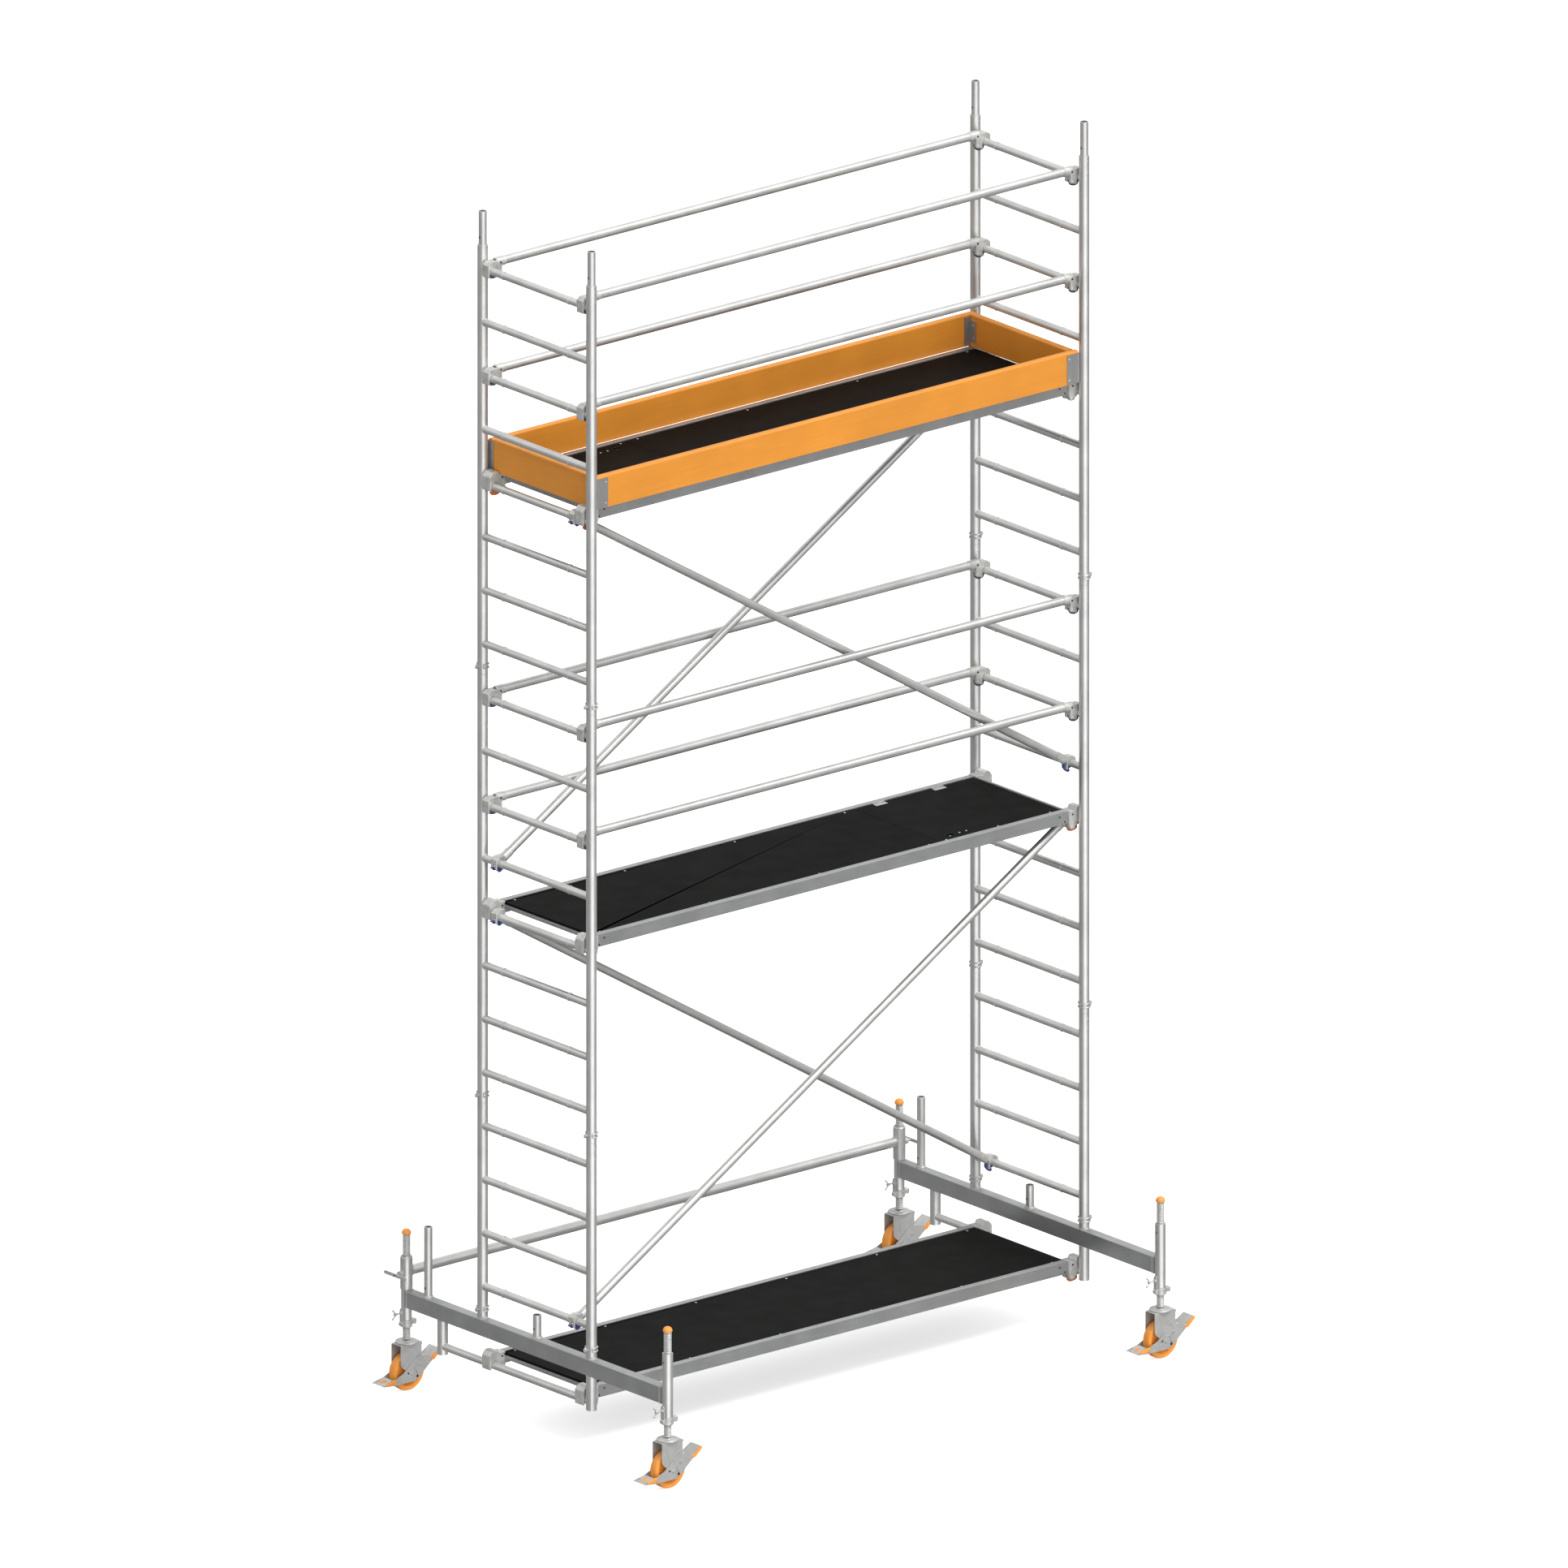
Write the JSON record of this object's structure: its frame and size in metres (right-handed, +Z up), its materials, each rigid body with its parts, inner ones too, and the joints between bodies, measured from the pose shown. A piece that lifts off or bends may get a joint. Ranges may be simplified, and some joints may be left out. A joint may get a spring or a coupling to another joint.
{
  "type": "mobile tower scaffold",
  "caption": "Rolling access tower: two ladder-frame ends on castored beams, hatch decks, guard rails, diagonal braces and toe boards.",
  "frame": {"origin": "on the floor, at the centre of the footprint box of the whole tower", "axes": "+X along the bay towards the end where the middle deck's hatch is, +Y towards the base strut, +Z up"},
  "size_m": [3.18, 1.926, 5.634],
  "materials": {
    "aluminium_tube": "satin drawn tube, faint lengthwise die lines",
    "aluminium_profile": "satin extruded profile",
    "cast_aluminium": "fine-grained pressure casting, slightly dull",
    "galvanised_steel": "hot-dip galvanised, soft spangle",
    "zinc_steel": "bright zinc-plated steel",
    "deck_board": "black phenolic film on plywood, fine slip-resistant grain",
    "toe_board": "orange painted board, lighter rounded top edge",
    "orange_wheel": "orange moulded polyamide",
    "orange_lock": "orange moulded polyamide",
    "blue_pawl": "blue moulded polyamide",
    "grey_pawl": "dark grey moulded polyamide"
  },
  "bodies": {
    "tower": {"left_beam": "galvanised_steel", "right_beam": "galvanised_steel", "left_lower_frame": "aluminium_tube", "left_middle_frame": "aluminium_tube", "left_upper_frame": "aluminium_tube", "right_lower_frame": "aluminium_tube", "right_middle_frame": "aluminium_tube", "right_upper_frame": "aluminium_tube", "frame_clips": "zinc_steel", "base_strut": "galvanised_steel", "bottom_deck_frame": "aluminium_profile", "bottom_deck_board": "deck_board", "middle_deck_frame": "aluminium_profile", "middle_deck_board": "deck_board", "top_deck_frame": "aluminium_profile", "top_deck_board": "deck_board", "deck_claws": "cast_aluminium", "hatch_hinges": "zinc_steel", "deck_rivets": "zinc_steel", "front_guard_rails": "aluminium_tube", "rear_guard_rails": "aluminium_tube", "rail_claws": "cast_aluminium", "rail_pawls": "grey_pawl", "front_braces": "aluminium_tube", "rear_braces": "aluminium_tube", "brace_claws": "cast_aluminium", "brace_pawls": "blue_pawl", "side_toe_boards": "toe_board", "end_toe_boards": "toe_board", "toe_board_brackets": "aluminium_profile"},
    "left_strut_screw": {"left_strut_screw": "zinc_steel"},
    "right_strut_screw": {"right_strut_screw": "zinc_steel"},
    "left_front_leg": {"left_front_spindle": "zinc_steel"},
    "left_front_nut": {"left_front_spindle_nut": "zinc_steel"},
    "left_front_fork": {"left_front_castor_fork": "zinc_steel"},
    "left_front_wheel": {"left_front_wheel": "orange_wheel"},
    "left_front_lever": {"left_front_brake_lever": "zinc_steel"},
    "left_rear_leg": {"left_rear_spindle": "zinc_steel"},
    "left_rear_nut": {"left_rear_spindle_nut": "zinc_steel"},
    "left_rear_fork": {"left_rear_castor_fork": "zinc_steel"},
    "left_rear_wheel": {"left_rear_wheel": "orange_wheel"},
    "left_rear_lever": {"left_rear_brake_lever": "zinc_steel"},
    "right_front_leg": {"right_front_spindle": "zinc_steel"},
    "right_front_nut": {"right_front_spindle_nut": "zinc_steel"},
    "right_front_fork": {"right_front_castor_fork": "zinc_steel"},
    "right_front_wheel": {"right_front_wheel": "orange_wheel"},
    "right_front_lever": {"right_front_brake_lever": "zinc_steel"},
    "right_rear_leg": {"right_rear_spindle": "zinc_steel"},
    "right_rear_nut": {"right_rear_spindle_nut": "zinc_steel"},
    "right_rear_fork": {"right_rear_castor_fork": "zinc_steel"},
    "right_rear_wheel": {"right_rear_wheel": "orange_wheel"},
    "right_rear_lever": {"right_rear_brake_lever": "zinc_steel"},
    "bottom_front_wind_lock": {"bottom_front_wind_lock": "orange_lock"},
    "bottom_rear_wind_lock": {"bottom_rear_wind_lock": "orange_lock"},
    "middle_hatch": {"middle_hatch": "deck_board"},
    "middle_front_wind_lock": {"middle_front_wind_lock": "orange_lock"},
    "middle_rear_wind_lock": {"middle_rear_wind_lock": "orange_lock"},
    "top_hatch": {"top_hatch": "deck_board"},
    "top_front_wind_lock": {"top_front_wind_lock": "orange_lock"},
    "top_rear_wind_lock": {"top_rear_wind_lock": "orange_lock"}
  },
  "joints": [
    {"name": "left_front_jack", "type": "slide", "parent": "tower", "child": "left_front_leg", "axis": [0, 0, 1], "range_m": [-0.1, 0.045]},
    {"name": "left_front_nut_turn", "type": "hinge", "parent": "tower", "child": "left_front_nut", "pos_m": [-1.425, -0.912, 0.31], "axis": [0, 0, 1], "range_deg": [-2100, 4600]},
    {"name": "left_front_swivel", "type": "hinge", "parent": "left_front_leg", "child": "left_front_fork", "pos_m": [-1.425, -0.912, 0.22], "axis": [0, 0, 1], "continuous": true},
    {"name": "left_front_roll", "type": "hinge", "parent": "left_front_fork", "child": "left_front_wheel", "pos_m": [-1.425, -0.912, 0.0875], "axis": [0, 1, 0], "continuous": true},
    {"name": "left_front_brake", "type": "hinge", "parent": "left_front_fork", "child": "left_front_lever", "pos_m": [-1.425, -0.912, 0.0875], "axis": [0, 1, 0], "range_deg": [0, 12]},
    {"name": "left_rear_jack", "type": "slide", "parent": "tower", "child": "left_rear_leg", "axis": [0, 0, 1], "range_m": [-0.1, 0.045]},
    {"name": "left_rear_nut_turn", "type": "hinge", "parent": "tower", "child": "left_rear_nut", "pos_m": [-1.425, 0.888, 0.31], "axis": [0, 0, 1], "range_deg": [-2100, 4600]},
    {"name": "left_rear_swivel", "type": "hinge", "parent": "left_rear_leg", "child": "left_rear_fork", "pos_m": [-1.425, 0.888, 0.22], "axis": [0, 0, 1], "continuous": true},
    {"name": "left_rear_roll", "type": "hinge", "parent": "left_rear_fork", "child": "left_rear_wheel", "pos_m": [-1.425, 0.888, 0.0875], "axis": [0, 1, 0], "continuous": true},
    {"name": "left_rear_brake", "type": "hinge", "parent": "left_rear_fork", "child": "left_rear_lever", "pos_m": [-1.425, 0.888, 0.0875], "axis": [0, 1, 0], "range_deg": [0, 12]},
    {"name": "right_front_jack", "type": "slide", "parent": "tower", "child": "right_front_leg", "axis": [0, 0, 1], "range_m": [-0.1, 0.045]},
    {"name": "right_front_nut_turn", "type": "hinge", "parent": "tower", "child": "right_front_nut", "pos_m": [1.425, -0.912, 0.31], "axis": [0, 0, 1], "range_deg": [-2100, 4600]},
    {"name": "right_front_swivel", "type": "hinge", "parent": "right_front_leg", "child": "right_front_fork", "pos_m": [1.425, -0.912, 0.22], "axis": [0, 0, 1], "continuous": true},
    {"name": "right_front_roll", "type": "hinge", "parent": "right_front_fork", "child": "right_front_wheel", "pos_m": [1.425, -0.912, 0.0875], "axis": [0, 1, 0], "continuous": true},
    {"name": "right_front_brake", "type": "hinge", "parent": "right_front_fork", "child": "right_front_lever", "pos_m": [1.425, -0.912, 0.0875], "axis": [0, 1, 0], "range_deg": [0, 12]},
    {"name": "right_rear_jack", "type": "slide", "parent": "tower", "child": "right_rear_leg", "axis": [0, 0, 1], "range_m": [-0.1, 0.045]},
    {"name": "right_rear_nut_turn", "type": "hinge", "parent": "tower", "child": "right_rear_nut", "pos_m": [1.425, 0.888, 0.31], "axis": [0, 0, 1], "range_deg": [-2100, 4600]},
    {"name": "right_rear_swivel", "type": "hinge", "parent": "right_rear_leg", "child": "right_rear_fork", "pos_m": [1.425, 0.888, 0.22], "axis": [0, 0, 1], "continuous": true},
    {"name": "right_rear_roll", "type": "hinge", "parent": "right_rear_fork", "child": "right_rear_wheel", "pos_m": [1.425, 0.888, 0.0875], "axis": [0, 1, 0], "continuous": true},
    {"name": "right_rear_brake", "type": "hinge", "parent": "right_rear_fork", "child": "right_rear_lever", "pos_m": [1.425, 0.888, 0.0875], "axis": [0, 1, 0], "range_deg": [0, 12]},
    {"name": "bottom_front_wind_lock_pivot", "type": "hinge", "parent": "tower", "child": "bottom_front_wind_lock", "pos_m": [1.379, -0.332, 0.243], "axis": [0, 1, 0], "range_deg": [0, 70]},
    {"name": "bottom_rear_wind_lock_pivot", "type": "hinge", "parent": "tower", "child": "bottom_rear_wind_lock", "pos_m": [1.379, 0.308, 0.243], "axis": [0, 1, 0], "range_deg": [0, 70]},
    {"name": "middle_hatch_hinge", "type": "hinge", "parent": "tower", "child": "middle_hatch", "pos_m": [0.97, 0.287, 2.417], "axis": [-1, 0, 0], "range_deg": [0, 90]},
    {"name": "middle_front_wind_lock_pivot", "type": "hinge", "parent": "tower", "child": "middle_front_wind_lock", "pos_m": [1.379, -0.332, 2.345], "axis": [0, 1, 0], "range_deg": [0, 70]},
    {"name": "middle_rear_wind_lock_pivot", "type": "hinge", "parent": "tower", "child": "middle_rear_wind_lock", "pos_m": [1.379, 0.308, 2.345], "axis": [0, 1, 0], "range_deg": [0, 70]},
    {"name": "top_hatch_hinge", "type": "hinge", "parent": "tower", "child": "top_hatch", "pos_m": [-0.97, -0.311, 4.417], "axis": [1, 0, 0], "range_deg": [0, 90]},
    {"name": "top_front_wind_lock_pivot", "type": "hinge", "parent": "tower", "child": "top_front_wind_lock", "pos_m": [-1.379, -0.332, 4.345], "axis": [0, -1, 0], "range_deg": [0, 70]},
    {"name": "top_rear_wind_lock_pivot", "type": "hinge", "parent": "tower", "child": "top_rear_wind_lock", "pos_m": [-1.379, 0.308, 4.345], "axis": [0, -1, 0], "range_deg": [0, 70]},
    {"name": "left_strut_screw_turn", "type": "hinge", "parent": "tower", "child": "left_strut_screw", "pos_m": [-1.48, 0.888, 0.545], "axis": [-1, 0, 0], "range_deg": [0, 720]},
    {"name": "right_strut_screw_turn", "type": "hinge", "parent": "tower", "child": "right_strut_screw", "pos_m": [1.48, 0.888, 0.545], "axis": [1, 0, 0], "range_deg": [0, 720]}
  ],
  "couplings": [
    {"joint": "left_front_nut_turn", "follows": "left_front_jack", "rad_per_m": -785.4},
    {"joint": "left_rear_nut_turn", "follows": "left_rear_jack", "rad_per_m": -785.4},
    {"joint": "right_front_nut_turn", "follows": "right_front_jack", "rad_per_m": -785.4},
    {"joint": "right_rear_nut_turn", "follows": "right_rear_jack", "rad_per_m": -785.4}
  ]
}
